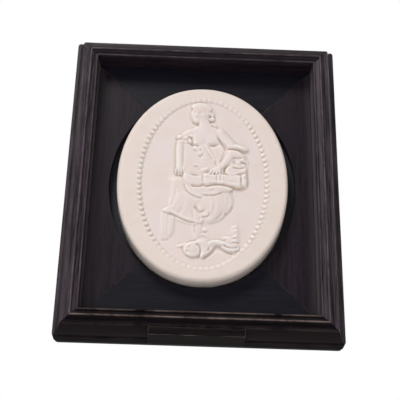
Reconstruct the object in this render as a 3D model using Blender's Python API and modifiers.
"""Oval porcelain relief plaque in a moulded black frame, made to hang on a wall.

The frame's back lies in the plane y = 0, the front faces -Y, and +Z is up.
The origin is the nail that the frame hangs on, in the keyhole of the hanger plate.
"""

import math

import bmesh
import bpy
import numpy as np
from mathutils import Matrix, Vector

MM = 0.001

# Frame
FRAME_WIDTH = 250.0 * MM
FRAME_HEIGHT = 300.0 * MM
CORNER_RADIUS = 3.5 * MM
JOINT_GAP = 0.3 * MM
RAIL_WIDTH = 23.1 * MM
RAIL_BASE = 11.9 * MM
MOULDING_HEIGHT = 16.0 * MM
LEDGE_WIDTH = 2.4 * MM
LEDGE_RISE = 0.3 * MM
SIDE_BEVEL = 0.9 * MM
COVE_RADIUS = 1.5 * MM
ARRIS_OFFSET = 7.9 * MM
ARRIS_DROP = 1.9 * MM
ARRIS_HEIGHT = 0.6 * MM
ARRIS_EDGE = 0.2 * MM
ARRIS_LAND = 0.7 * MM
RIDGE_OFFSET = 15.2 * MM
RIDGE_SHOULDER = 1.3 * MM
RIDGE_SHOULDER_DROP = 0.7 * MM
RIDGE_FLAT = 0.8 * MM
RIDGE_EDGE = 0.5 * MM
RIDGE_STEP = 1.6 * MM
SIGHT_FILLET = 1.2 * MM
SIGHT_BEAD_WIDTH = 2.0 * MM
SIGHT_BEAD_RISE = 1.2 * MM
SIGHT_BEAD_DROP = 3.2 * MM
SIGHT_SIDE_DROP = 6.0 * MM

# Back and inner panels
BACKBOARD_THICKNESS = 5.0 * MM
BACKBOARD_INSET = 0.5 * MM
PANEL_THICKNESS = 7.8 * MM
OVAL_SIDE_CLEARANCE = 7.8 * MM
OVAL_END_CLEARANCE = 1.4 * MM

# Plaque
PLAQUE_WIDTH = 156.1 * MM
PLAQUE_HEIGHT = 197.6 * MM
PLAQUE_THICKNESS = 20.7 * MM
PLAQUE_SIDE_SHIFT = -0.3 * MM
PLAQUE_DROP = 0.6 * MM
OUTLINE_FULLNESS = 0.96
RIM_RADIUS = 3.6 * MM
WALL_FLARE = 0.3 * MM
FIELD_DROP = 1.6 * MM
BEAD_OVAL_WIDTH = 117.6 * MM
BEAD_OVAL_HEIGHT = 174.0 * MM
BEAD_COUNT = 86
BEAD_LENGTH = 6.2 * MM
BEAD_WIDTH = 4.4 * MM
BEAD_END_WIDTH = 7.6 * MM
BEAD_END_RISE = 0.15 * MM
BEAD_SIDE_RISE = 0.7 * MM
FIELD_DEPTH = 1.0 * MM
RELIEF_SHARE = 0.66
RELIEF_TRIANGLES = 7300

# Blank tablet let into the lower rail
TABLET_WIDTH = 82.0 * MM
TABLET_HEIGHT = 7.1 * MM
TABLET_SETBACK = 0.5 * MM
TABLET_OFFSET = -2.5 * MM
TABLET_BEVEL = 0.6 * MM

# Hanger plate with its keyhole, and its two screws
NAIL_DROP = 14.0 * MM
HANGER_WIDTH = 38.0 * MM
HANGER_HEIGHT = 20.0 * MM
HANGER_THICKNESS = 1.6 * MM
KEY_SLOT_RADIUS = 2.0 * MM
KEY_HOLE_RADIUS = 4.6 * MM
KEY_DROP = 7.2 * MM
HANGER_TOP_EDGE = 4.0 * MM
HANGER_CORNER_RADIUS = 2.5 * MM
NAIL_ROOM_WIDTH = 12.0 * MM
NAIL_ROOM_ABOVE = 3.5 * MM
NAIL_ROOM_BELOW = 0.5 * MM
SCREW_SPACING = 26.0 * MM
SCREW_HEAD_RADIUS = 3.1 * MM
SCREW_SHANK_RADIUS = 1.4 * MM
SCREW_LENGTH = 4.8 * MM
SCREW_STEPS = 14

# How near two points or a point and a plane must be to count as one, and how far a cutter stands proud
SAME_POINT = 0.01 * MM
CLOSE_PLANE = 0.001 * MM
TURN_POINT = 0.02 * MM
OUTLINE_MARGIN = 0.02 * MM

# Drawing of the relief: one drawing unit is a millimetre on a field of this size
DRAWN_OVAL_WIDTH = 119.2
DRAWN_OVAL_HEIGHT = 174.8
DRAWING_LIFT = 1.2
DEEPEST_CREASE = 0.9
HIGH_LEVEL = 3.5
HIGH_SHARE = 0.65
GRID_COLUMNS = 150
GRID_ROWS = 196

# Levels, as distances in front of the wall
RAILS_BACK = BACKBOARD_THICKNESS + JOINT_GAP
PANELS_FRONT = RAILS_BACK + PANEL_THICKNESS
PLAQUE_FACE = RAILS_BACK + PLAQUE_THICKNESS
FIELD_LEVEL = PLAQUE_FACE - FIELD_DEPTH

FRAME_TOP = NAIL_DROP
MIDDLE_HEIGHT = FRAME_TOP - FRAME_HEIGHT / 2
FRAME_BOTTOM = FRAME_TOP - FRAME_HEIGHT

OVAL_HALF_WIDTH = PLAQUE_WIDTH / 2 + OVAL_SIDE_CLEARANCE
OVAL_HALF_HEIGHT = PLAQUE_HEIGHT / 2 + OVAL_END_CLEARANCE


def clear_scene():
    for item in list(bpy.data.objects):
        bpy.data.objects.remove(item, do_unlink=True)


def make_collection(name):
    collection = bpy.data.collections.new(name)
    bpy.context.scene.collection.children.link(collection)
    return collection


def make_material(name, color, roughness, metallic=0.0):
    material = bpy.data.materials.new(name)
    material.use_nodes = True
    shader = material.node_tree.nodes["Principled BSDF"]
    shader.inputs["Base Color"].default_value = (*color, 1.0)
    shader.inputs["Roughness"].default_value = roughness
    shader.inputs["Metallic"].default_value = metallic
    return material


def place_mesh(name, bm, collection, material=None, matrix=None):
    """Turn a bmesh into an object of the collection, seen by the build only if it has a material."""
    mesh = bpy.data.meshes.new(name)
    bm.to_mesh(mesh)
    bm.free()
    item = bpy.data.objects.new(name, mesh)
    if matrix is not None:
        item.matrix_world = matrix
    if material is None:
        item.hide_render = True
        item.display_type = "WIRE"
    else:
        mesh.materials.append(material)
    collection.objects.link(item)
    return item


def outline_solid(loops, depth):
    """A bmesh of flat closed loops, holes included, with the given thickness centred on their plane."""
    curve = bpy.data.curves.new("outline", "CURVE")
    curve.dimensions = "2D"
    curve.fill_mode = "BOTH"
    curve.extrude = depth / 2
    for loop in loops:
        spline = curve.splines.new("POLY")
        spline.points.add(len(loop) - 1)
        for point, (x, y) in zip(spline.points, loop):
            point.co = (x, y, 0, 1)
        spline.use_cyclic_u = True
    holder = bpy.data.objects.new("outline", curve)
    bpy.context.scene.collection.objects.link(holder)
    graph = bpy.context.evaluated_depsgraph_get()
    mesh = bpy.data.meshes.new_from_object(holder.evaluated_get(graph))
    bm = bmesh.new()
    bm.from_mesh(mesh)
    bmesh.ops.remove_doubles(bm, verts=bm.verts, dist=SAME_POINT)
    bpy.data.objects.remove(holder)
    bpy.data.curves.remove(curve)
    bpy.data.meshes.remove(mesh)
    return bm


def box_solid(width, depth, height):
    bm = bmesh.new()
    bmesh.ops.create_cube(bm, size=1.0)
    bmesh.ops.scale(bm, vec=(width, depth, height), verts=bm.verts)
    return bm


def arc(centre, radii, start, end, steps):
    """Points of an elliptical arc, angles in degrees."""
    angles = np.radians(np.linspace(start, end, steps + 1))
    return [(centre[0] + radii[0] * math.cos(a), centre[1] + radii[1] * math.sin(a)) for a in angles]


def rounded_rectangle(width, height, radius, steps=5):
    x, y = width / 2 - radius, height / 2 - radius
    points = []
    for sx, sy, start in ((1, 1, 0), (-1, 1, 90), (-1, -1, 180), (1, -1, 270)):
        points += arc((sx * x, sy * y), (radius, radius), start, start + 90, steps)
    return points


def cut(item, cutter, operation="DIFFERENCE"):
    modifier = item.modifiers.new("cut " + cutter.name, "BOOLEAN")
    modifier.operation = operation
    modifier.solver = "EXACT"
    modifier.object = cutter


def upright(x, level, z):
    """Local X stays, local Y goes up, local Z points forwards; level is the distance from the wall."""
    return Matrix.Translation((x, -level, z)) @ Matrix.Rotation(math.radians(90), 4, "X")


def moulding_profile():
    """Section of a rail: x runs inwards from the outer side, y forwards from the back."""
    top = RAIL_BASE + MOULDING_HEIGHT
    arris = top - ARRIS_DROP
    ledge = RAIL_BASE + LEDGE_RISE
    sight = RAIL_WIDTH - SIGHT_FILLET
    sight_level = top - SIGHT_BEAD_DROP
    flat_start = RIDGE_OFFSET - RIDGE_EDGE
    flat_end = flat_start + RIDGE_FLAT

    # outer side, ledge and slope up to the arris
    profile = [(0, 0), (0, RAIL_BASE - SIDE_BEVEL), (SIDE_BEVEL, RAIL_BASE)]
    profile += arc((LEDGE_WIDTH, ledge + COVE_RADIUS), (COVE_RADIUS, COVE_RADIUS), 270, 350, 3)
    profile += [(ARRIS_OFFSET - ARRIS_EDGE, arris - ARRIS_HEIGHT), (ARRIS_OFFSET, arris)]
    profile += [(ARRIS_OFFSET + ARRIS_LAND, arris + ARRIS_EDGE)]
    # rounded ridge, then the bead that borders the panels
    profile += [(RIDGE_OFFSET - RIDGE_SHOULDER, top - RIDGE_SHOULDER_DROP), (flat_start, top)]
    profile += [(flat_end, top), (flat_end + 1.2 * RIDGE_EDGE, top - RIDGE_EDGE)]
    profile += [(flat_end + 1.4 * RIDGE_EDGE, top - RIDGE_STEP)]
    profile += [(sight - SIGHT_BEAD_WIDTH, sight_level - SIGHT_BEAD_RISE / 3)]
    profile += arc((sight - SIGHT_BEAD_WIDTH / 2, sight_level), (SIGHT_BEAD_WIDTH / 2, SIGHT_BEAD_RISE), 180,
                   0, 4)
    profile += [(sight + SIGHT_FILLET / 6, sight_level - 2 * SIGHT_BEAD_RISE / 3)]
    profile += [(RAIL_WIDTH, RAIL_BASE - SIGHT_SIDE_DROP), (RAIL_WIDTH, 0)]
    return profile


def make_rail(name, length, middle, inward, parts, material, outline):
    """One mitred length of the frame moulding; middle is the middle of its outer side."""
    bm = outline_solid([moulding_profile()], length)
    for end in (-1, 1):
        normal = Vector((1, 0, end)).normalized()
        point = Vector((0, 0, end * length / 2)) - normal * JOINT_GAP / 2
        geometry = bm.verts[:] + bm.edges[:] + bm.faces[:]
        result = bmesh.ops.bisect_plane(bm, geom=geometry, dist=CLOSE_PLANE, plane_co=point, plane_no=normal,
                                        clear_outer=True)
        edges = [item for item in result["geom_cut"] if isinstance(item, bmesh.types.BMEdge)]
        bmesh.ops.contextual_create(bm, geom=edges)
    bmesh.ops.recalc_face_normals(bm, faces=bm.faces)
    inward = Vector(inward)
    front = Vector((0, -1, 0))
    matrix = Matrix((inward, front, inward.cross(front))).transposed().to_4x4()
    matrix.translation = Vector((middle[0], -RAILS_BACK, middle[1]))
    rail = place_mesh(name, bm, parts, material, matrix)
    cut(rail, outline, "INTERSECT")
    return rail


def make_frame(parts, cutters, wood, tablet_wood):
    depth = 3 * (RAIL_BASE + MOULDING_HEIGHT)
    width, height = FRAME_WIDTH + 2 * OUTLINE_MARGIN, FRAME_HEIGHT + 2 * OUTLINE_MARGIN
    block = outline_solid([rounded_rectangle(width, height, CORNER_RADIUS)], depth)
    outline = place_mesh("frame_outline", block, cutters, matrix=upright(0, 0, MIDDLE_HEIGHT))
    half = FRAME_WIDTH / 2
    make_rail("rail_top", FRAME_WIDTH, (0, FRAME_TOP), (0, 0, -1), parts, wood, outline)
    lower = make_rail("rail_bottom", FRAME_WIDTH, (0, FRAME_BOTTOM), (0, 0, 1), parts, wood, outline)
    make_rail("rail_left", FRAME_HEIGHT, (-half, MIDDLE_HEIGHT), (1, 0, 0), parts, wood, outline)
    make_rail("rail_right", FRAME_HEIGHT, (half, MIDDLE_HEIGHT), (-1, 0, 0), parts, wood, outline)

    # the tablet fills a notch cut through the ledge and the sloping side, a little behind the arris
    tablet_depth = RAIL_BASE + MOULDING_HEIGHT - ARRIS_DROP - TABLET_SETBACK
    notch_solid = box_solid(TABLET_WIDTH + 2 * JOINT_GAP, depth, 2 * (TABLET_HEIGHT + JOINT_GAP))
    notch = place_mesh("tablet_notch", notch_solid, cutters,
                       matrix=Matrix.Translation((TABLET_OFFSET, 0, FRAME_BOTTOM)))
    cut(lower, notch)
    place = Matrix.Translation((TABLET_OFFSET, -RAILS_BACK - tablet_depth / 2,
                                FRAME_BOTTOM + TABLET_HEIGHT / 2))
    tablet = place_mesh("title_tablet", box_solid(TABLET_WIDTH, tablet_depth, TABLET_HEIGHT), parts,
                        tablet_wood, place)
    bevel = tablet.modifiers.new("edges", "BEVEL")
    bevel.width = TABLET_BEVEL
    bevel.segments = 2


def make_panels(parts, wood):
    """Four mitred boards that fill the frame round the oval opening."""
    x = FRAME_WIDTH / 2 - RAIL_WIDTH - JOINT_GAP
    z = FRAME_HEIGHT / 2 - RAIL_WIDTH - JOINT_GAP
    shift = JOINT_GAP / math.sqrt(2)
    radius = math.hypot(OVAL_HALF_WIDTH, OVAL_HALF_HEIGHT)
    lean = math.atan2(OVAL_HALF_HEIGHT, OVAL_HALF_WIDTH)
    radii = (OVAL_HALF_WIDTH, OVAL_HALF_HEIGHT)
    level = RAILS_BACK + PANEL_THICKNESS / 2

    # the mitre line meets the oval where half_width cos(t) - half_height sin(t) = x - z, moved by the joint
    upper = math.degrees(math.acos((x - z - shift) / radius) - lean)
    side = math.degrees(math.acos((x - z + shift) / radius) - lean)
    for name, sign in (("panel_top", 1), ("panel_bottom", -1)):
        edge = arc((0, 0), radii, upper, 180 - upper, 24)
        loop = [(x - shift, z)] + edge + [(-x + shift, z)]
        loop = [(px, sign * pz) for px, pz in loop]
        place_mesh(name, outline_solid([loop], PANEL_THICKNESS), parts, wood,
                   upright(0, level, MIDDLE_HEIGHT))
    for name, sign in (("panel_right", 1), ("panel_left", -1)):
        edge = arc((0, 0), radii, side, -side, 28)
        loop = [(x, z - shift)] + edge + [(x, -z + shift)]
        loop = [(sign * px, pz) for px, pz in loop]
        place_mesh(name, outline_solid([loop], PANEL_THICKNESS), parts, wood,
                   upright(0, level, MIDDLE_HEIGHT))


def screw_profile(grow):
    """Half section of a countersunk screw, head up; grow widens it into the hole that takes it."""
    head = SCREW_HEAD_RADIUS + grow
    shank = SCREW_SHANK_RADIUS + grow
    top = 2 * grow
    tip = -SCREW_LENGTH - 4 * grow
    sink = -(SCREW_HEAD_RADIUS - SCREW_SHANK_RADIUS)
    return [(0, top), (head, top), (head, 0), (shank, sink), (shank, tip), (0, tip)]


def turned(name, profile, collection, material, matrix):
    """A half section turned round its own vertical axis."""
    bm = bmesh.new()
    points = [bm.verts.new((x, 0, z)) for x, z in profile]
    for start, end in zip(points, points[1:]):
        bm.edges.new((start, end))
    item = place_mesh(name, bm, collection, material, matrix)
    screw = item.modifiers.new("turn", "SCREW")
    screw.steps = SCREW_STEPS
    screw.render_steps = SCREW_STEPS
    screw.use_merge_vertices = True
    screw.merge_threshold = TURN_POINT
    return item


def make_back(parts, cutters, back_wood, brass, steel):
    width = FRAME_WIDTH - 2 * BACKBOARD_INSET
    height = FRAME_HEIGHT - 2 * BACKBOARD_INSET
    board = outline_solid([rounded_rectangle(width, height, CORNER_RADIUS, 3)], BACKBOARD_THICKNESS)
    backboard = place_mesh("backboard", board, parts, back_wood,
                           upright(0, BACKBOARD_THICKNESS / 2, MIDDLE_HEIGHT))

    # plate, sunk flush with the back, its slot's top on the nail
    middle = KEY_SLOT_RADIUS + HANGER_TOP_EDGE - HANGER_HEIGHT / 2
    slot = math.degrees(math.asin(KEY_SLOT_RADIUS / KEY_HOLE_RADIUS))
    keyhole = arc((0, 0), (KEY_SLOT_RADIUS, KEY_SLOT_RADIUS), 0, 180, 8)
    keyhole += arc((0, -KEY_DROP), (KEY_HOLE_RADIUS, KEY_HOLE_RADIUS), 90 + slot, 450 - slot, 18)
    rim = [(px, py + middle) for px, py in rounded_rectangle(HANGER_WIDTH, HANGER_HEIGHT,
                                                             HANGER_CORNER_RADIUS, 3)]
    plate = place_mesh("hanger_plate", outline_solid([rim, keyhole], HANGER_THICKNESS), parts, brass,
                       upright(0, HANGER_THICKNESS / 2, 0))

    seat = box_solid(HANGER_WIDTH + 2 * JOINT_GAP, 2 * (HANGER_THICKNESS + JOINT_GAP),
                     HANGER_HEIGHT + 2 * JOINT_GAP)
    seat_cutter = place_mesh("hanger_seat", seat, cutters, matrix=Matrix.Translation((0, 0, middle)))
    room_top = NAIL_ROOM_ABOVE
    room_foot = -KEY_DROP - KEY_HOLE_RADIUS - NAIL_ROOM_BELOW
    room = box_solid(NAIL_ROOM_WIDTH, 3 * BACKBOARD_THICKNESS, room_top - room_foot)
    room_place = Matrix.Translation((0, 0, (room_top + room_foot) / 2))
    room_cutter = place_mesh("nail_room", room, cutters, matrix=room_place)
    cut(backboard, seat_cutter)
    cut(backboard, room_cutter)
    turn = Matrix.Rotation(math.radians(-90), 4, "X")
    for side, name in ((-1, "hanger_screw_left"), (1, "hanger_screw_right")):
        place = Matrix.Translation((side * SCREW_SPACING / 2, 0, middle)) @ turn
        turned(name, screw_profile(0.0), parts, steel, place)
        hole = turned(name + "_hole", screw_profile(JOINT_GAP), cutters, None, place)
        cut(plate, hole)
        cut(backboard, hole)


def smooth_curve(points, closed=False, steps=7):
    """Points of a smooth curve through the given ones."""
    pts = np.array(points, float)
    if closed:
        ring = np.vstack([pts[-1:], pts, pts[:2]])
    else:
        ring = np.vstack([2 * pts[0] - pts[1], pts, 2 * pts[-1] - pts[-2]])
    share = np.linspace(0, 1, steps, endpoint=False)[:, None]
    parts = []
    for before, start, end, after in zip(ring, ring[1:], ring[2:], ring[3:]):
        parts.append(0.5 * (2 * start + (end - before) * share
                            + (2 * before - 5 * start + 4 * end - after) * share ** 2
                            + (3 * start - before - 3 * end + after) * share ** 3))
    line = np.vstack(parts)
    return line if closed else np.vstack([line, pts[-1:]])


def ease(value):
    value = np.clip(value, 0.0, 1.0)
    return value * value * (3 - 2 * value)


class Relief:
    """Heights over points (x, z) of the field, all in drawing units of a millimetre."""

    def __init__(self, x, z):
        self.x = np.asarray(x, float)
        self.z = np.asarray(z, float)
        self.height = np.zeros_like(self.x)

    def near(self, line, reach):
        low = line[:, :2].min(axis=0) - reach
        high = line[:, :2].max(axis=0) + reach
        inside = (self.x > low[0]) & (self.x < high[0]) & (self.z > low[1]) & (self.z < high[1])
        return np.flatnonzero(inside)

    def track(self, line, picked):
        """Distance from the picked points to the line, and the place of the nearest point along it."""
        x, z = self.x[picked], self.z[picked]
        best = np.full(len(picked), 1e9)
        place = np.zeros(len(picked))
        last = len(line) - 1
        for index in range(last):
            ax, az = line[index, 0], line[index, 1]
            dx, dz = line[index + 1, 0] - ax, line[index + 1, 1] - az
            length = dx * dx + dz * dz + 1e-12
            share = np.clip(((x - ax) * dx + (z - az) * dz) / length, 0, 1)
            gap = (x - ax - share * dx) ** 2 + (z - az - share * dz) ** 2
            closer = gap < best
            best[closer] = gap[closer]
            place[closer] = (index + share[closer]) / last
        return np.sqrt(best), place

    def raise_to(self, picked, level, soft=0.35):
        """Lift the picked points to the level where it is higher, with a soft join."""
        here = self.height[picked]
        mix = np.clip(0.5 + 0.5 * (level - here) / soft, 0, 1)
        self.height[picked] = here + (level - here) * mix + soft * mix * (1 - mix)

    def limb(self, points, radii, levels, base=0.0, soft=0.3, swell=0.38):
        """A round member along a path: radii and crest levels at its points, base the level it lies on."""
        line = smooth_curve(points)
        stops = np.linspace(0, 1, len(radii))
        picked = self.near(line, max(radii))
        gap, place = self.track(line, picked)
        radius = np.interp(place, stops, radii)
        crest = np.interp(place, np.linspace(0, 1, len(levels)), levels)
        inside = gap < radius
        dome = (1 - (gap[inside] / radius[inside]) ** 2) ** swell
        self.raise_to(picked[inside], base + (crest[inside] - base) * dome, soft)

    def mound(self, centre, radii, level, base=0.0, turn=0.0, soft=0.3, swell=0.38):
        """An oval dome: swell is the power of its section, 0.5 for a round one and less for a flatter one."""
        angle = math.radians(turn)
        dx, dz = self.x - centre[0], self.z - centre[1]
        along = (dx * math.cos(angle) + dz * math.sin(angle)) / radii[0]
        across = (dz * math.cos(angle) - dx * math.sin(angle)) / radii[1]
        square = along ** 2 + across ** 2
        picked = np.flatnonzero(square < 1)
        self.raise_to(picked, base + (level - base) * (1 - square[picked]) ** swell, soft)

    def sheet(self, outline, level, edge, base=0.0, soft=0.35, gentle=False):
        """A flat form with a closed outline, its edge rounded or a gentle slope of the given width."""
        line = smooth_curve(outline, closed=True)
        line = np.vstack([line, line[:1]])
        picked = self.near(line, 0.0)
        x, z = self.x[picked], self.z[picked]
        inside = np.zeros(len(picked), bool)
        for (ax, az), (bx, bz) in zip(line[:-1], line[1:]):
            if az == bz:
                continue
            crossing = ((az > z) != (bz > z)) & (x < (bx - ax) * (z - az) / (bz - az) + ax)
            inside ^= crossing
        picked = picked[inside]
        gap, _ = self.track(line, picked)
        rise = ease(gap / edge) if gentle else np.sqrt(1 - (1 - np.clip(gap / edge, 0, 1)) ** 2)
        self.raise_to(picked, base + (level - base) * rise, soft)

    def fold(self, points, width, height, ends=0.25):
        """A raised fold that fades out at both ends; a negative height makes a crease."""
        line = smooth_curve(points)
        picked = self.near(line, 3 * width)
        gap, place = self.track(line, picked)
        fade = ease(place / ends) * ease((1 - place) / ends) if ends > 0 else 1.0
        self.height[picked] += height * fade * np.exp(-(gap / width) ** 2)

    def crease(self, points, width, depth, ends=0.2):
        self.fold(points, 0.85 * width, -1.6 * depth, ends)

    def pit(self, centre, radii, depth, turn=0.0):
        angle = math.radians(turn)
        dx, dz = self.x - centre[0], self.z - centre[1]
        along = (dx * math.cos(angle) + dz * math.sin(angle)) / radii[0]
        across = (dz * math.cos(angle) - dx * math.sin(angle)) / radii[1]
        self.height -= depth * np.exp(-(along ** 2 + across ** 2))

    def cast(self):
        """Finished heights: creases sink only a little into the field, and high parts are flattened."""
        height = np.maximum(self.height, -DEEPEST_CREASE)
        return np.where(height > HIGH_LEVEL, HIGH_LEVEL + HIGH_SHARE * (height - HIGH_LEVEL), height)


def carve_skirt(r):
    petticoat = [(-24, -37), (-23.2, -41.0), (-17, -43.4), (-11, -44.8), (-5, -45.2), (-4, -41), (-15, -38)]
    r.sheet(petticoat, 1.8, 1.4)
    outline = [(-32, 2), (-32, -10), (-32.5, -20), (-33.5, -27), (-36, -31), (-35, -33.8), (-30, -36.5),
               (-24, -38.8), (-19, -41), (-12, -43.5), (-5, -45), (3, -45.4), (9, -44.2), (14.5, -40.6),
               (19, -36.4), (25, -35.0), (28, -30), (29.5, -23), (28.5, -15), (26, -8), (10, 0), (-10, 5),
               (-20, 5)]
    r.sheet(outline, 2.7, 6.5, gentle=True)
    lower = [(-36.5, -31), (-35.5, -33.8), (-30, -35.6), (-24, -38), (-19, -40.2), (-12, -42.8), (-5, -44.2),
             (-1, -43.8), (1.5, -40), (0, -34), (-8, -27), (-18, -24), (-28, -27)]
    r.sheet(lower, 3.4, 1.8)
    # the two knees and the lap between them
    r.mound((-16, -24), (15.5, 15), 4.3, base=1.2, turn=16, swell=0.8)
    r.mound((7.5, -25.6), (16, 17.5), 5.4, base=0.6, turn=-8, swell=0.7)
    r.mound((-4, -19), (21, 9), 4.8, base=1.0, swell=0.8)
    # soft folds that fall from the waist
    for points, width, height in (
            ([(-29, -2), (-28.5, -12), (-30, -24), (-34.5, -32)], 2.0, 0.45),
            ([(-22, -12), (-23.5, -23), (-29, -33)], 2.0, 0.45),
            ([(-13, -22), (-14, -30), (-19, -39)], 1.8, 0.5),
            ([(7.0, -18), (8.4, -25), (7.5, -31), (3.5, -36), (-1.5, -38)], 1.4, 0.8),
            ([(12.0, -17), (13.4, -27), (12, -35), (7, -41), (1, -43)], 1.8, 0.7),
            ([(20.4, -15), (21.6, -24), (19.5, -33)], 1.3, 0.4),
            ([(25, -13), (26.4, -22), (24.4, -30)], 1.3, 0.5)):
        r.fold(points, width, height)
    for points, width, depth in (
            ([(-8, -26.5), (-5.8, -29.6), (-2.8, -33.2), (0.4, -32.2), (4, -29.6)], 1.5, 1.5),
            ([(-9.5, -31), (-8.8, -37), (-9, -43)], 1.0, 0.6),
            ([(5.5, -32), (6, -36.3), (2, -38), (-2, -38.2)], 0.9, 1.2),
            ([(-2.5, -38), (-2, -44.5)], 1.0, 0.7),
            ([(-25, -8), (-25.5, -18), (-29, -29)], 1.4, 0.35),
            ([(-17.5, -23), (-18.5, -30), (-23, -37)], 1.3, 0.4),
            ([(18.5, -31), (16.5, -36), (11.5, -41)], 1.2, 0.6),
            ([(22.6, -15), (23.2, -23), (21.6, -31)], 1.2, 0.3),
            ([(27.6, -25), (26.4, -29.5), (23, -33.6), (19.6, -34.4)], 1.2, 0.7),
            ([(10, -18), (10.8, -26), (9.4, -33)], 1.2, 0.35)):
        r.crease(points, width, depth)
    # the hem, a narrow turned band above a dark line
    r.crease([(-31, -34.2), (-28, -35.4), (-24.5, -36.9), (-20.5, -39.2), (-13, -42.2), (-5, -43.8)], 0.9,
             1.5, 0.12)
    r.fold([(-35, -31), (-29, -33), (-24, -35.2), (-19, -37.8), (-12, -40.8), (-5, -42.4)], 1.1, 0.7)


def carve_hanging_cloth(r):
    outline = [(-38, -31), (-38.8, -44), (-38.2, -55), (-36.3, -59.6), (-31.5, -61.2), (-27.5, -58.7),
               (-24.6, -52), (-23.8, -42), (-24.5, -36.5), (-30, -34.5)]
    r.sheet(outline, 1.3, 3.6, gentle=True)
    for top, foot in ((-36.4, -36.6), (-32.6, -33.0), (-28.8, -29.4), (-25.8, -27)):
        r.fold([(top, -33), ((top + foot) / 2, -46), (foot, -57.5)], 1.2, 0.6, 0.15)
    r.crease([(-36, -60.0), (-33, -61.2), (-29.5, -60.0)], 0.8, 0.9)
    # the underskirt and the foot below the lap
    strip = [(-9.8, -43), (-9.4, -53), (-8, -58.5), (-4, -59.5), (-1.5, -56), (-0.8, -50), (-0.8, -43)]
    r.sheet(strip, 1.1, 2.2, gentle=True)
    r.crease([(-6.8, -44), (-6.6, -49), (-6.0, -54)], 0.8, 0.8)
    r.fold([(-1.2, -44), (-1.2, -49), (-2.4, -56)], 0.8, 0.7)
    r.mound((2.4, -49.6), (3.2, 2.0), 1.6, turn=-8, swell=0.7)
    r.crease([(1.0, -51.6), (2.8, -52.2), (4.8, -51.6)], 0.7, 0.9)
    r.limb([(-1.6, -55.0), (1.8, -54.2), (5.2, -56.0)], (1.0, 1.2, 1.0), (0.9, 1.3, 0.9))


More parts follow.
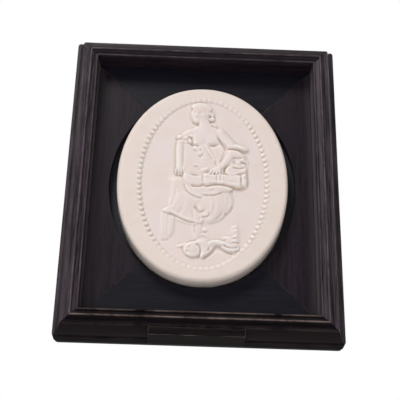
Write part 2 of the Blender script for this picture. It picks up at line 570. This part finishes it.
def carve_base(r):
    ground = [(-21.5, -66.6), (-17, -63.6), (-12, -60.6), (-6, -58.6), (0, -57.2), (5, -58.0), (8, -60.4),
              (11, -62.0), (16, -61.4), (20, -59.6), (22.5, -56.8), (27, -55.4), (29.4, -56), (31, -59),
              (31.6, -63), (31.6, -67), (30.0, -69.4), (27, -70.2), (22, -68.6), (17, -65.8), (13, -64.8),
              (10, -68.0), (5.4, -72.8), (1, -75.4), (-5, -76.2), (-11, -74.8), (-15.4, -71.6),
              (-16.6, -68.2)]
    r.sheet(ground, 2.2, 2.4, gentle=True)
    r.sheet([(1, -63), (7, -61.6), (13.4, -63.2), (12.4, -66.0), (9.2, -69.8), (4.8, -74.2), (0.4, -76.4),
             (-2, -73)], 3.4, 1.2, base=0.6)
    # leaf tail on the left
    r.limb([(-12, -64.4), (-17, -65.4), (-22.4, -66.8)], (2.2, 1.7, 0.7), (3.2, 2.6, 1.2))
    # outer roll of the scroll, over the boss to the running wave
    r.limb([(-13.6, -67.0), (-10.4, -64.2), (-5.4, -62.6), (-0.6, -62.6), (2.8, -65.4), (3.2, -70.6),
            (0.6, -75.6)], (1.2, 1.7, 1.9, 2.6, 3.0, 2.7, 1.6), (3.4, 4.2, 4.5, 4.4, 4.2, 4.0, 3.4),
           base=1.6)
    r.crease([(-16.0, -68.0), (-13.2, -64.4), (-8.8, -61.6), (-3.2, -60.2)], 1.0, 2.2, 0.15)
    r.crease([(4.6, -61.0), (6.6, -64.0), (6.8, -68.0), (5.2, -72.0)], 0.9, 1.6)
    # boss, which curls in on itself
    r.mound((-8.2, -69.0), (8.4, 7.2), 5.0, base=1.6, swell=0.45)
    r.crease([(-6.6, -65.4), (-3.6, -65.4), (-1.6, -67.8), (-0.9, -71.2), (-2.0, -75.2), (-4.6, -77.0)], 0.9,
             1.9, 0.15)
    r.fold([(-14.0, -69.4), (-11.6, -66.2), (-7.8, -64.8), (-4.4, -66.4), (-3.4, -70.2)], 1.2, 0.8, 0.15)
    r.crease([(-13.6, -67.4), (-11.8, -68.0), (-10.2, -66.6)], 0.7, 1.2)
    r.mound((-11.6, -65.6), (1.6, 1.2), 4.9, base=3.0, turn=30)
    r.crease([(-14.6, -70.6), (-12.6, -72.6), (-9.4, -73.0)], 0.9, 0.5)
    r.pit((-4.6, -71.6), (1.1, 2.2), 0.9)
    r.pit((2.2, -67.8), (1.3, 0.7), 0.6)
    r.pit((3.4, -71.6), (0.9, 1.4), 0.6)
    # running wave to the shell, with a leaf along its lower side
    r.limb([(4.6, -67), (8.2, -63.2), (12.6, -62.0), (17.6, -62.6), (23, -64.6), (28, -66.4), (32.6, -65.8)],
           (2.4, 2.5, 2.4, 2.4, 2.2, 1.7, 1.0), (3.4, 4.0, 4.2, 4.2, 4.0, 3.2, 1.8), base=1.2)
    r.crease([(18.6, -63.8), (22, -66.4), (26.6, -67.8), (30, -67.4), (33.4, -66.2)], 1.1, 2.0, 0.15)
    r.limb([(18, -66.2), (23, -68.4), (28, -68.8), (32.6, -67.4)], (1.2, 1.5, 1.4, 0.9),
           (3.0, 3.4, 3.2, 2.4), base=1.6)
    r.crease([(14, -66.4), (17, -67.8), (22, -70.8), (28, -72.4)], 0.9, 1.8, 0.1)
    r.pit((13.8, -67.2), (3.4, 1.9), 4.6, -12)
    r.crease([(1, -77.2), (6, -74.2), (10, -70.2), (12.6, -67.0)], 1.3, 2.4, 0.15)
    # shell: low plump lobes, one above the other, from a short stem
    r.limb([(19.6, -57.8), (23, -57.2), (26.6, -57.4)], (1.4, 1.8, 1.5), (1.6, 2.4, 2.4), base=0.8,
           swell=0.8)
    r.sheet([(25.4, -45), (30, -43.6), (34.6, -46), (35.2, -53), (34.8, -60), (33.6, -65), (27, -65),
             (25.6, -58), (25, -51)], 1.4, 4.0, gentle=True)
    for height, left, level in ((-46.2, 28.6, 2.0), (-50.4, 28.8, 2.4), (-55.6, 28.0, 2.9),
                                (-60.0, 27.0, 3.6), (-63.8, 27.4, 3.2)):
        r.limb([(left, height - 0.5), (30.4, height), (32.8, height - 0.4)], (1.2, 1.8, 1.2),
               (level - 0.5, level, level - 2.0), base=0.3, soft=0.3)
    r.crease([(26.6, -48.0), (30.0, -48.2), (33.8, -47.6)], 0.6, 0.3)
    r.crease([(26.8, -53.4), (29.8, -53.4)], 0.7, 0.5)
    r.crease([(26.8, -57.4), (30.2, -57.6)], 0.7, 0.5)
    r.crease([(26.8, -62.0), (30.4, -62.2), (34.0, -62.0)], 0.7, 0.7)


def carve_torso(r):
    outline = [(-14, 51), (-20, 47.5), (-23, 40), (-23, 32), (-22.6, 20), (-21, 9), (-14, 4), (8, 4),
               (14, 9), (17, 18), (20, 29), (20, 38), (19, 50), (14, 54.5), (8, 56.5), (3, 60), (-2, 59),
               (-7, 54)]
    r.sheet(outline, 3.8, 5.0, gentle=True)
    r.limb([(-1.6, 62), (0.6, 57), (2.0, 50)], (5.2, 5.6, 9.5), (4.6, 4.6, 5.0), base=0.4, soft=0.8)
    r.mound((1.0, 44.5), (17.5, 12.5), 5.6, base=2.4, swell=0.8)
    r.mound((-5.0, 41.5), (7.5, 6.5), 6.3, base=4.6, soft=0.8, swell=0.8)
    r.mound((7.6, 41.5), (7.0, 6.8), 6.6, base=4.6, soft=0.8, swell=0.8)
    # bodice below the neckline
    bodice = [(-18.5, 37.0), (-10, 36.6), (-4, 36.2), (4, 36.4), (11, 38.4), (18, 34), (19, 27), (15.5, 17),
              (13, 9), (5, 4), (-8, 3), (-18, 4), (-20, 18), (-20, 30)]
    r.sheet(bodice, 4.8, 3.0, base=2.4)
    r.mound((1, 29), (15, 12), 5.6, base=3.4, swell=0.8)
    r.fold([(-10, 38.2), (-4, 37.6), (3, 37.6), (9, 39.4), (12, 43)], 0.8, 0.5, 0.15)
    r.crease([(-13.2, 44.0), (-11.2, 42.0), (-10.6, 38.4), (-11.4, 35.4)], 0.9, 2.0, 0.15)
    r.fold([(-8.0, 42), (-8.2, 39), (-7.0, 36.6)], 0.7, 0.5)
    r.pit((-8.0, 34.0), (3.6, 1.5), 3.2, -10)
    r.pit((9.8, 35.4), (3.8, 1.6), 2.6, 14)
    # lines of the stomacher, meeting below
    r.crease([(13.0, 33), (13.6, 26), (11, 16)], 0.8, 0.4)
    # a ladder of three small bows
    for x, z, size in ((-5.4, 31.6, 1.0), (-2.6, 26.0, 0.85), (0.4, 20.6, 0.7)):
        for side in (-1, 1):
            r.mound((x + 2.3 * side * size, z + 0.6 * size - 0.7 * side), (2.3 * size, 1.4 * size), 6.5,
                    base=5.0, turn=18 * side - 22, soft=0.3, swell=0.7)
        r.mound((x, z), (1.0 * size, 1.1 * size), 6.7, base=5.0, soft=0.2)
    for points in ([(-3.4, 33), (-2.6, 30.6), (-3.4, 28.6)], [(-0.2, 26.6), (-1.2, 24.6), (-2.6, 23)],
                   [(-9.6, 30.4), (-7.4, 28.2), (-4.6, 27.6)], [(-4.8, 24.4), (-3.0, 22.6), (-0.6, 22.4)]):
        r.crease(points, 0.8, 1.5)
    # strap of the instrument across the bodice
    strap = [(1.2, 35), (4.6, 29), (8.8, 22), (12.2, 15)]
    r.limb([(x + 0.9, z + 0.4) for x, z in strap], (1.2, 1.5, 1.5, 1.2), (6.2, 6.4, 6.3, 6.0), base=4.6,
           soft=0.3)
    r.crease([(0.2, 33.6), (3.0, 28.4), (6.2, 23.4), (8.6, 19)], 0.7, 0.9)
    r.crease([(3.6, 34.6), (6.2, 29.8), (9.4, 24.6), (11.6, 19.6), (13.2, 14.6)], 0.8, 1.5, 0.15)
    # cloth bunched above the instrument
    r.mound((-9, 9.5), (8.5, 4.6), 5.8, base=3.5, turn=-6, swell=0.7)
    r.mound((-4, 13.2), (7.5, 3.0), 6.0, base=4.0, turn=-10, swell=0.7)
    r.mound((1.0, 9.2), (5.4, 2.6), 7.2, base=4.0, turn=24, swell=0.7)
    r.crease([(-9.5, 12.0), (-6.5, 12.4), (-3.6, 11.8)], 0.8, 1.5)
    r.crease([(-8, 10.2), (-4.6, 9.6), (-3.2, 10.6)], 0.7, 1.1)
    r.crease([(-14, 4.8), (-10, 4.2), (-6, 3.6), (-3, 2.4)], 0.7, 0.9)
    r.pit((4.0, 7.6), (1.8, 1.3), 2.6, 20)


def carve_left_arm(r):
    # shoulder slope and the sleeve down to the wrist
    r.limb([(-8, 50), (-14.5, 48), (-20, 43.6)], (4.4, 4.8, 4.2), (4.6, 4.8, 5.0), base=0.3, soft=1.0,
           swell=1.0)
    r.limb([(-20.8, 43), (-22.0, 34), (-22.2, 24), (-22.0, 14), (-21.8, 9)], (4.0, 4.1, 3.9, 3.7, 3.4),
           (5.0, 5.4, 5.6, 5.8, 6.0), base=0.5, swell=0.6)
    # puff and bow at the shoulder
    for centre, radii, level, turn in (((-22.6, 43.4), (3.2, 2.2), 6.3, 10),
                                       ((-21.4, 38.4), (3.4, 1.8), 6.2, -12),
                                       ((-16.8, 42.6), (2.2, 2.4), 6.7, 60),
                                       ((-12.6, 44.8), (2.8, 1.6), 6.6, -25),
                                       ((-13.0, 39.0), (1.5, 2.8), 6.4, 8),
                                       ((-16.6, 38.2), (2.4, 1.6), 6.2, 20)):
        r.mound(centre, radii, level, base=4.0, turn=turn, soft=0.3, swell=0.6)
    r.crease([(-25, 41), (-22.5, 40.6), (-19.5, 41.2)], 0.8, 1.5)
    r.crease([(-15.4, 43.4), (-12.4, 42.8), (-11.2, 40.6)], 0.7, 1.3)
    r.crease([(-17, 40.4), (-14.6, 39.6)], 0.6, 0.8)
    r.crease([(-14.8, 37), (-12.2, 36.2), (-9.8, 35.6)], 0.8, 1.4)
    for shift in (-1.8, 1.6):
        r.fold([(-22.0 + shift, 36), (-22.3 + 0.8 * shift, 26), (-22.0 + 0.6 * shift, 13)], 0.7, 0.3)
    r.crease([(-18.4, 36), (-18.4, 26), (-18.2, 12)], 0.7, 0.8)
    # cuff and hand
    r.fold([(-25.4, 12.4), (-21.8, 11.4), (-18.4, 12.2)], 0.7, 0.6, 0.3)
    r.mound((-21.6, 10.0), (4.0, 3.4), 6.2, base=2.0)
    for knuckle, tip in (((-24.4, 10.6), (-25.2, 6.0)), ((-22.2, 10.2), (-22.6, 5.0)),
                         ((-20.0, 10.2), (-20.1, 5.0)), ((-18.2, 10.6), (-17.8, 6.2))):
        middle = ((knuckle[0] + tip[0]) / 2 - 0.2, (knuckle[1] + tip[1]) / 2)
        r.limb([knuckle, middle, tip], (1.0, 0.95, 0.8), (6.8, 7.0, 5.8), base=1.6, soft=0.15)
    for gap_x in (-23.5, -21.2, -19.0):
        r.crease([(gap_x, 10), (gap_x - 0.2, 7.6), (gap_x - 0.3, 5.2)], 0.5, 1.2, 0.15)


def carve_right_arm(r):
    # shoulder and upper sleeve, which spreads down to the lace without a step
    sleeve = [(10, 55), (16, 54.5), (21, 51), (25.5, 46), (31, 41), (36, 38), (34, 34), (28, 33), (21, 31),
              (18, 36), (14, 42), (11, 47)]
    r.sheet(sleeve, 4.4, 6.0, gentle=True)
    r.limb([(14.5, 49.5), (19.5, 43.5), (25, 37.5)], (6.0, 6.0, 5.6), (5.2, 5.7, 6.1), base=0.2, soft=1.0,
           swell=1.3)
    r.crease([(12.0, 45.5), (14.2, 41.4), (17.6, 36.6), (20.2, 32.4), (20.6, 26)], 0.95, 2.0, 0.15)
    r.fold([(14.8, 46), (17.4, 41.8), (21.4, 37.4)], 0.9, 0.6)
    r.fold([(20, 49), (25, 43.5), (31, 39.4)], 1.2, 0.3)
    # three tiers of lace at the elbow
    first = [(20.4, 36.6), (26, 38.4), (33, 37.8), (38.6, 35.4), (42.0, 32.8), (38, 31.6), (31, 33.2),
             (24.6, 33.6)]
    second = [(22.8, 31.8), (28, 32.2), (33.4, 31), (36.6, 27), (36.4, 23.4), (31, 22.8), (26.5, 22.8),
              (23, 26)]
    r.sheet([(16, 33), (38, 31), (41, 20), (41, 8), (30, 3), (12, 3), (11, 12), (14, 22)], 3.4, 5.0,
            gentle=True)
    third = [(26, 21.4), (33, 21.8), (41.4, 21.6), (42.2, 17.8), (38, 15.4), (31, 15.4), (26.8, 16.6)]
    r.sheet(third, 4.0, 3.2, gentle=True)
    r.sheet(second, 5.0, 3.0)
    r.sheet(first, 5.6, 2.6)
    for place in (0.0, 0.22, 0.44, 0.66, 0.88):
        r.fold([(22.5 + 14 * place, 37.4 - 1.2 * place), (24 + 16.5 * place, 33.4 - 1.6 * place)], 0.7, 0.35,
               0.2)
        r.fold([(25 + 9 * place, 30.6 - 1.5 * place), (26.6 + 9.2 * place, 24)], 0.7, 0.25, 0.2)
    r.crease([(22.0, 32.6), (26, 32.6), (32, 31.2), (35.4, 29.4), (39.6, 29.0)], 0.9, 2.0, 0.1)
    r.pit((36, 29.4), (2.0, 0.9), 0.8)
    r.crease([(26, 22.8), (31, 22.8), (36.5, 23.0)], 0.7, 1.0)
    r.fold([(34, 21.0), (37.5, 21.2), (41, 21.0)], 0.6, 1.0, 0.2)
    r.crease([(33.8, 18.7), (37, 18.9), (41, 18.4)], 1.0, 2.2, 0.15)
    r.crease([(29, 17.0), (34, 16.0), (41, 15.8)], 0.6, 0.7)
    r.pit((28.8, 18.4), (1.2, 1.7), 2.6)
    # lower flounce with its open curl
    flounce = [(24, 15.6), (20.6, 11.6), (20.2, 7.6), (22.6, 5.2), (29, 4.8), (36, 5.4), (40.8, 7.6),
               (41.4, 12.5), (38.8, 14.6), (33, 14.2), (28, 15.0)]
    r.sheet(flounce, 4.2, 3.4, gentle=True)
    r.fold([(25.6, 14.6), (28.4, 15.0), (32.6, 14.4)], 0.7, 0.9, 0.2)
    r.crease([(25.6, 16.4), (22.0, 14.0), (19.4, 10.6), (19.4, 7.0), (21.6, 4.6), (26.6, 3.9), (32.6, 4.0)],
             0.8, 1.2, 0.1)
    r.limb([(21.8, 10.6), (21.8, 8.4), (24.0, 6.6), (28, 6.0), (32.0, 7.2)], (0.8, 1.2, 1.4, 1.3, 0.8),
           (4.6, 5.6, 6.0, 5.8, 4.8), base=3.2, soft=0.2)
    r.crease([(26.6, 13.0), (30, 12.6), (33.6, 12.0), (35.6, 13.0), (38.6, 13.4)], 0.75, 1.6, 0.12)
    r.pit((25.0, 10.6), (1.6, 1.0), 1.0, 30)
    # forearm and the hand on the keys
    r.limb([(25.0, 25.0), (21.4, 19.6), (17.2, 14.8), (14.4, 11.6)], (3.6, 3.1, 2.7, 2.5),
           (5.8, 6.0, 6.2, 6.8), base=2.8)
    r.mound((12.8, 9.8), (4.2, 3.3), 7.9, base=4.0, turn=40)
    for knuckle, tip in (((10.4, 10.6), (6.8, 7.2)), ((11.2, 9.0), (8.8, 4.8)), ((13.0, 8.0), (11.8, 3.8)),
                         ((15.2, 8.4), (15.2, 4.0))):
        middle = ((knuckle[0] + tip[0]) / 2 - 0.3, (knuckle[1] + tip[1]) / 2 + 0.3)
        r.limb([knuckle, middle, tip], (1.0, 0.95, 0.75), (8.2, 8.4, 7.8), base=4.6, soft=0.15)
    r.crease([(10.8, 20), (11.4, 17.0), (12.6, 13.6)], 0.8, 1.1)


def carve_instrument(r):
    belly = [(-18.6, 3), (-18.4, -4), (-16.6, -10.5), (-12.4, -16), (-6, -19.2), (1, -20.2), (9, -19.3),
             (16, -16.6), (22.5, -12.4), (28, -7.5), (20, -2), (0, 1), (-10, 4)]
    r.sheet(belly, 5.8, 9.0, base=2.4)
    # two bindings that follow the round back
    r.crease([(-17.6, -4), (-16.4, -8.5), (-14.0, -13.0), (-9.4, -17.0), (-4, -19.2), (0.6, -19.8)], 0.9,
             1.6, 0.12)
    r.fold([(-14.8, -8.6), (-11.4, -13.0), (-6.4, -16.2), (1, -17.6)], 1.0, 0.8, 0.12)
    r.crease([(-14.2, -4.5), (-12.2, -8.8), (-9.4, -12)], 0.9, 0.8, 0.15)
    r.fold([(-2, -14.4), (4, -14.8), (10, -14.2), (15, -12.4)], 0.9, 0.8, 0.15)
    r.crease([(-0.6, -16.2), (5, -16.8), (11, -16.2), (16, -13.8), (20, -11)], 0.8, 1.3)
    r.crease([(5, -12.6), (8, -11.4), (11.6, -11.2)], 0.6, 0.6)
    box = [(-18, 5), (-10, 4.3), (0, 3.4), (12, 4.2), (19, 5.2), (34, 5.0), (34.6, 0), (34, -6.6),
           (25, -5.4), (15, -3.8), (8, -4.3), (0, -5.4), (-9, -6.2), (-15, -5.2), (-18.2, -1)]
    r.sheet(box, 6.8, 1.8, base=2.0, soft=0.2)
    r.crease([(-12, -7.0), (-8, -7.4), (-3, -7.2), (0, -6.2), (4, -7.2), (8, -5.8), (16, -5.0), (25, -6.8),
              (34, -7.8), (40, -7.8)], 1.3, 2.8, 0.08)
    keys = [(0.6, 4.4), (9, 4.2), (18.2, 5.0), (18.4, 0), (18.0, -3.6), (9, -3.8), (0.6, -4.6)]
    r.sheet(keys, 7.9, 0.8, base=6.0, soft=0.15)
    r.crease([(-0.4, 3.6), (-0.4, 0), (-0.3, -6.6)], 0.7, 1.5, 0.05)
    for x in (12.4, 16.0):
        r.crease([(x, 4.4), (x, 1), (x, -2.8)], 0.7, 1.7, 0.1)
    r.crease([(-3, 1.8), (2, 1.2), (7, 1.6)], 0.7, 1.3)
    r.crease([(-12.5, 3.4), (-8, 3.2), (-4, 2.2)], 0.7, 1.3)
    for z in (2.4, -2.8):
        r.crease([(21, z + 0.4), (27, z - 0.2), (34, z - 0.8)], 0.6, 0.6, 0.1)
    # peg box at the end
    peg = [(33.6, 5.6), (37, 8.4), (40.6, 8.6), (41.8, 1), (41.6, -4), (40.2, -7.0), (37, -7.0),
           (33.4, -6.4)]
    r.sheet(peg, 5.4, 3.6, soft=0.5, gentle=True)
    r.crease([(35, 4.4), (35.2, -1), (34.8, -6.4)], 0.6, 0.4)
    r.pit((38.4, 2.0), (1.0, 1.3), 1.9)


def carve_head(r):
    # face side, crown and the back of the head
    r.mound((-6.2, 69.0), (6.8, 9.4), 5.6, turn=-6, soft=0.6, swell=0.55)
    r.mound((-7.6, 62.8), (3.8, 3.4), 4.9, base=0.4, turn=-10, soft=0.8, swell=0.5)
    r.mound((-1.4, 68.8), (6.4, 9.4), 5.4, turn=-10, soft=0.8, swell=0.55)
    r.mound((0.8, 71.5), (9.8, 10.8), 3.2, soft=1.0, swell=1.0)
    # hair in one smooth mass, drawn back to the nape
    hair = [(-12.4, 76.6), (-11.6, 79.4), (-7, 80.8), (-1.8, 80.6), (2.0, 78.8), (4.4, 75), (5.4, 70),
            (4.4, 65.4), (2.0, 66.6), (0.2, 70.2), (-3.6, 72.4), (-8.4, 73.8)]
    r.sheet(hair, 5.9, 4.4, base=0.6, soft=0.5)
    r.mound((-2.6, 75.8), (9.4, 5.4), 6.7, base=3.8, turn=-10, swell=0.8)
    for start, middle in (((-11.2, 77.4), (-3.0, 78.0)), ((-10.6, 75.6), (-3.2, 75.8)),
                          ((-8.0, 74.2), (-2.2, 73.8)), ((-3.6, 73.0), (0.4, 71.6))):
        r.crease([start, middle, (4.2, 69.4)], 0.5, 0.35)
    # flower knot at the nape
    for step in range(6):
        angle = math.radians(60 * step + 30)
        r.mound((5.6 + 2.3 * math.cos(angle), 66.8 + 2.9 * math.sin(angle)), (1.9, 1.5), 4.2, base=0.8,
                turn=60 * step + 30, soft=0.3, swell=0.6)
    r.pit((5.3, 66.3), (1.8, 1.5), 3.2)
    r.pit((4.3, 72.8), (0.9, 0.8), 1.1)
    r.limb([(3.8, 64.4), (6.6, 63.7), (9.4, 64.6)], (0.9, 1.2, 0.9), (2.4, 3.4, 2.2), base=0.8, soft=0.3)
    r.crease([(4.4, 62.8), (7.0, 62.0), (9.4, 62.8)], 0.8, 1.1)
    r.limb([(6.6, 58.8), (9.4, 58.0), (11.2, 56.2)], (1.1, 1.0, 0.7), (1.8, 2.2, 2.8), base=1.0, soft=0.6)
    r.crease([(-11.6, 60.8), (-8.6, 59.4), (-4.4, 58.6)], 1.2, 1.6, 0.12)


def carve_relief(x, z):
    """Heights of the figure, its instrument and the scrolled base over the field, in drawing units."""
    relief = Relief(x, z - DRAWING_LIFT)
    carve_hanging_cloth(relief)
    carve_skirt(relief)
    carve_base(relief)
    carve_torso(relief)
    carve_left_arm(relief)
    carve_right_arm(relief)
    carve_instrument(relief)
    carve_head(relief)
    return relief.cast()


def add_border(x, z, heights):
    """Raise the border outside the bead oval to the plaque's face, and set the beads on its edge."""
    half_x, half_z = BEAD_OVAL_WIDTH / 2, BEAD_OVAL_HEIGHT / 2
    reach = (np.hypot(x / half_x, z / half_z) - 1) * min(half_x, half_z)
    lift = FIELD_DEPTH * ease((reach / (BEAD_LENGTH / 2) + 0.6) / 1.25)
    border = Relief(x, z)
    border.height = heights + lift
    turn = np.linspace(0, 2 * math.pi, 4001)
    run = np.cumsum(np.hypot(np.diff(half_x * np.cos(turn)), np.diff(half_z * np.sin(turn))))
    for number in range(BEAD_COUNT):
        angle = np.interp((number + 0.5) * run[-1] / BEAD_COUNT, run, turn[1:])
        centre = (half_x * math.cos(angle), half_z * math.sin(angle))
        outwards = math.degrees(math.atan2(centre[1] / half_z ** 2, centre[0] / half_x ** 2))
        # the beads melt together towards the top and the bottom
        sharp = float(ease(3 * math.cos(angle) ** 2 - 1))
        rise = BEAD_END_RISE + (BEAD_SIDE_RISE - BEAD_END_RISE) * sharp
        width = BEAD_END_WIDTH + (BEAD_WIDTH - BEAD_END_WIDTH) * sharp
        border.mound(centre, (BEAD_LENGTH / 2, width / 2), FIELD_DEPTH + rise, turn=outwards,
                     soft=0.1 * MM, swell=0.65)
    return border.height


def ring_side(way):
    return PLAQUE_SIDE_SHIFT * way


def ring_height(way):
    return -FIELD_DROP * (1 - way) - PLAQUE_DROP * way


def outline_power(way):
    return 1 + (OUTLINE_FULLNESS - 1) * way


def make_plaque(parts, porcelain):
    """The plaque is one casting: a relief field, a plain border, a round rim and a plain wall behind."""
    half_x, half_z = PLAQUE_WIDTH / 2, PLAQUE_HEIGHT / 2
    grid_x = BEAD_OVAL_WIDTH / 2 + BEAD_LENGTH
    grid_z = BEAD_OVAL_HEIGHT / 2 + BEAD_LENGTH
    bm = bmesh.new()
    bmesh.ops.create_grid(bm, x_segments=GRID_COLUMNS, y_segments=GRID_ROWS, size=1.0)
    across = np.array([vert.co.x for vert in bm.verts])
    up = np.array([vert.co.y for vert in bm.verts])
    x = grid_x * across * np.sqrt(1 - up ** 2 / 2)
    z = grid_z * up * np.sqrt(1 - across ** 2 / 2)
    scale = BEAD_OVAL_WIDTH / DRAWN_OVAL_WIDTH
    heights = carve_relief(x / scale, z * DRAWN_OVAL_HEIGHT / BEAD_OVAL_HEIGHT) * scale * RELIEF_SHARE
    heights = add_border(x, z, heights)
    for vert, px, pz, height in zip(bm.verts, x, z, heights):
        vert.co = (px, -FIELD_LEVEL - height, pz - FIELD_DROP)

    # rings outside the field: half width, half height, share of the way to the plaque's own centre and
    # outline, distance behind the face
    face_x, face_z = half_x - WALL_FLARE - RIM_RADIUS, half_z - WALL_FLARE - RIM_RADIUS
    rings = [((grid_x + face_x) / 2, (grid_z + face_z) / 2, 0.5, 0.0), (face_x, face_z, 1.0, 0.0)]
    for angle in np.radians((30, 60, 90)):
        grow = RIM_RADIUS * math.sin(angle)
        rings.append((face_x + grow, face_z + grow, 1.0, RIM_RADIUS * (1 - math.cos(angle))))
    rings.append((half_x, half_z, 1.0, PLAQUE_THICKNESS))
    edges = [edge for edge in bm.edges if edge.is_boundary]
    last_x, last_z, last_way = grid_x, grid_z, 0.0
    for ring_x, ring_z, way, drop in rings:
        grown = bmesh.ops.extrude_edge_only(bm, edges=edges)["geom"]
        edges = [item for item in grown if isinstance(item, bmesh.types.BMEdge)]
        power = outline_power(way) / outline_power(last_way)
        for vert in (item for item in grown if isinstance(item, bmesh.types.BMVert)):
            share_x = (vert.co.x - ring_side(last_way)) / last_x
            share_z = (vert.co.z - ring_height(last_way)) / last_z
            vert.co.x = ring_side(way) + ring_x * math.copysign(abs(share_x) ** power, share_x)
            vert.co.y = drop - PLAQUE_FACE
            vert.co.z = ring_height(way) + ring_z * math.copysign(abs(share_z) ** power, share_z)
        last_x, last_z, last_way = ring_x, ring_z, way
    bmesh.ops.holes_fill(bm, edges=edges, sides=0)
    bmesh.ops.recalc_face_normals(bm, faces=bm.faces)
    triangles = sum(len(face.verts) - 2 for face in bm.faces)
    plaque = place_mesh("relief_plaque", bm, parts, porcelain, Matrix.Translation((0, 0, MIDDLE_HEIGHT)))
    thin = plaque.modifiers.new("fewer faces", "DECIMATE")
    thin.ratio = RELIEF_TRIANGLES / triangles
    return plaque


def main():
    clear_scene()
    parts = make_collection("porcelain_relief_plaque")
    cutters = make_collection("cutters")
    porcelain = make_material("biscuit_porcelain", (0.80, 0.72, 0.66), 0.62)
    ebonised = make_material("ebonised_wood", (0.022, 0.018, 0.020), 0.42)
    panel_wood = make_material("panel_wood", (0.030, 0.023, 0.027), 0.38)
    tablet_wood = make_material("tablet_wood", (0.055, 0.043, 0.045), 0.45)
    back_wood = make_material("back_wood", (0.26, 0.16, 0.09), 0.70)
    brass = make_material("brass", (0.60, 0.42, 0.17), 0.42, 1.0)
    steel = make_material("screw_steel", (0.42, 0.40, 0.38), 0.45, 1.0)
    make_frame(parts, cutters, ebonised, tablet_wood)
    make_panels(parts, panel_wood)
    make_back(parts, cutters, back_wood, brass, steel)
    make_plaque(parts, porcelain)


main()
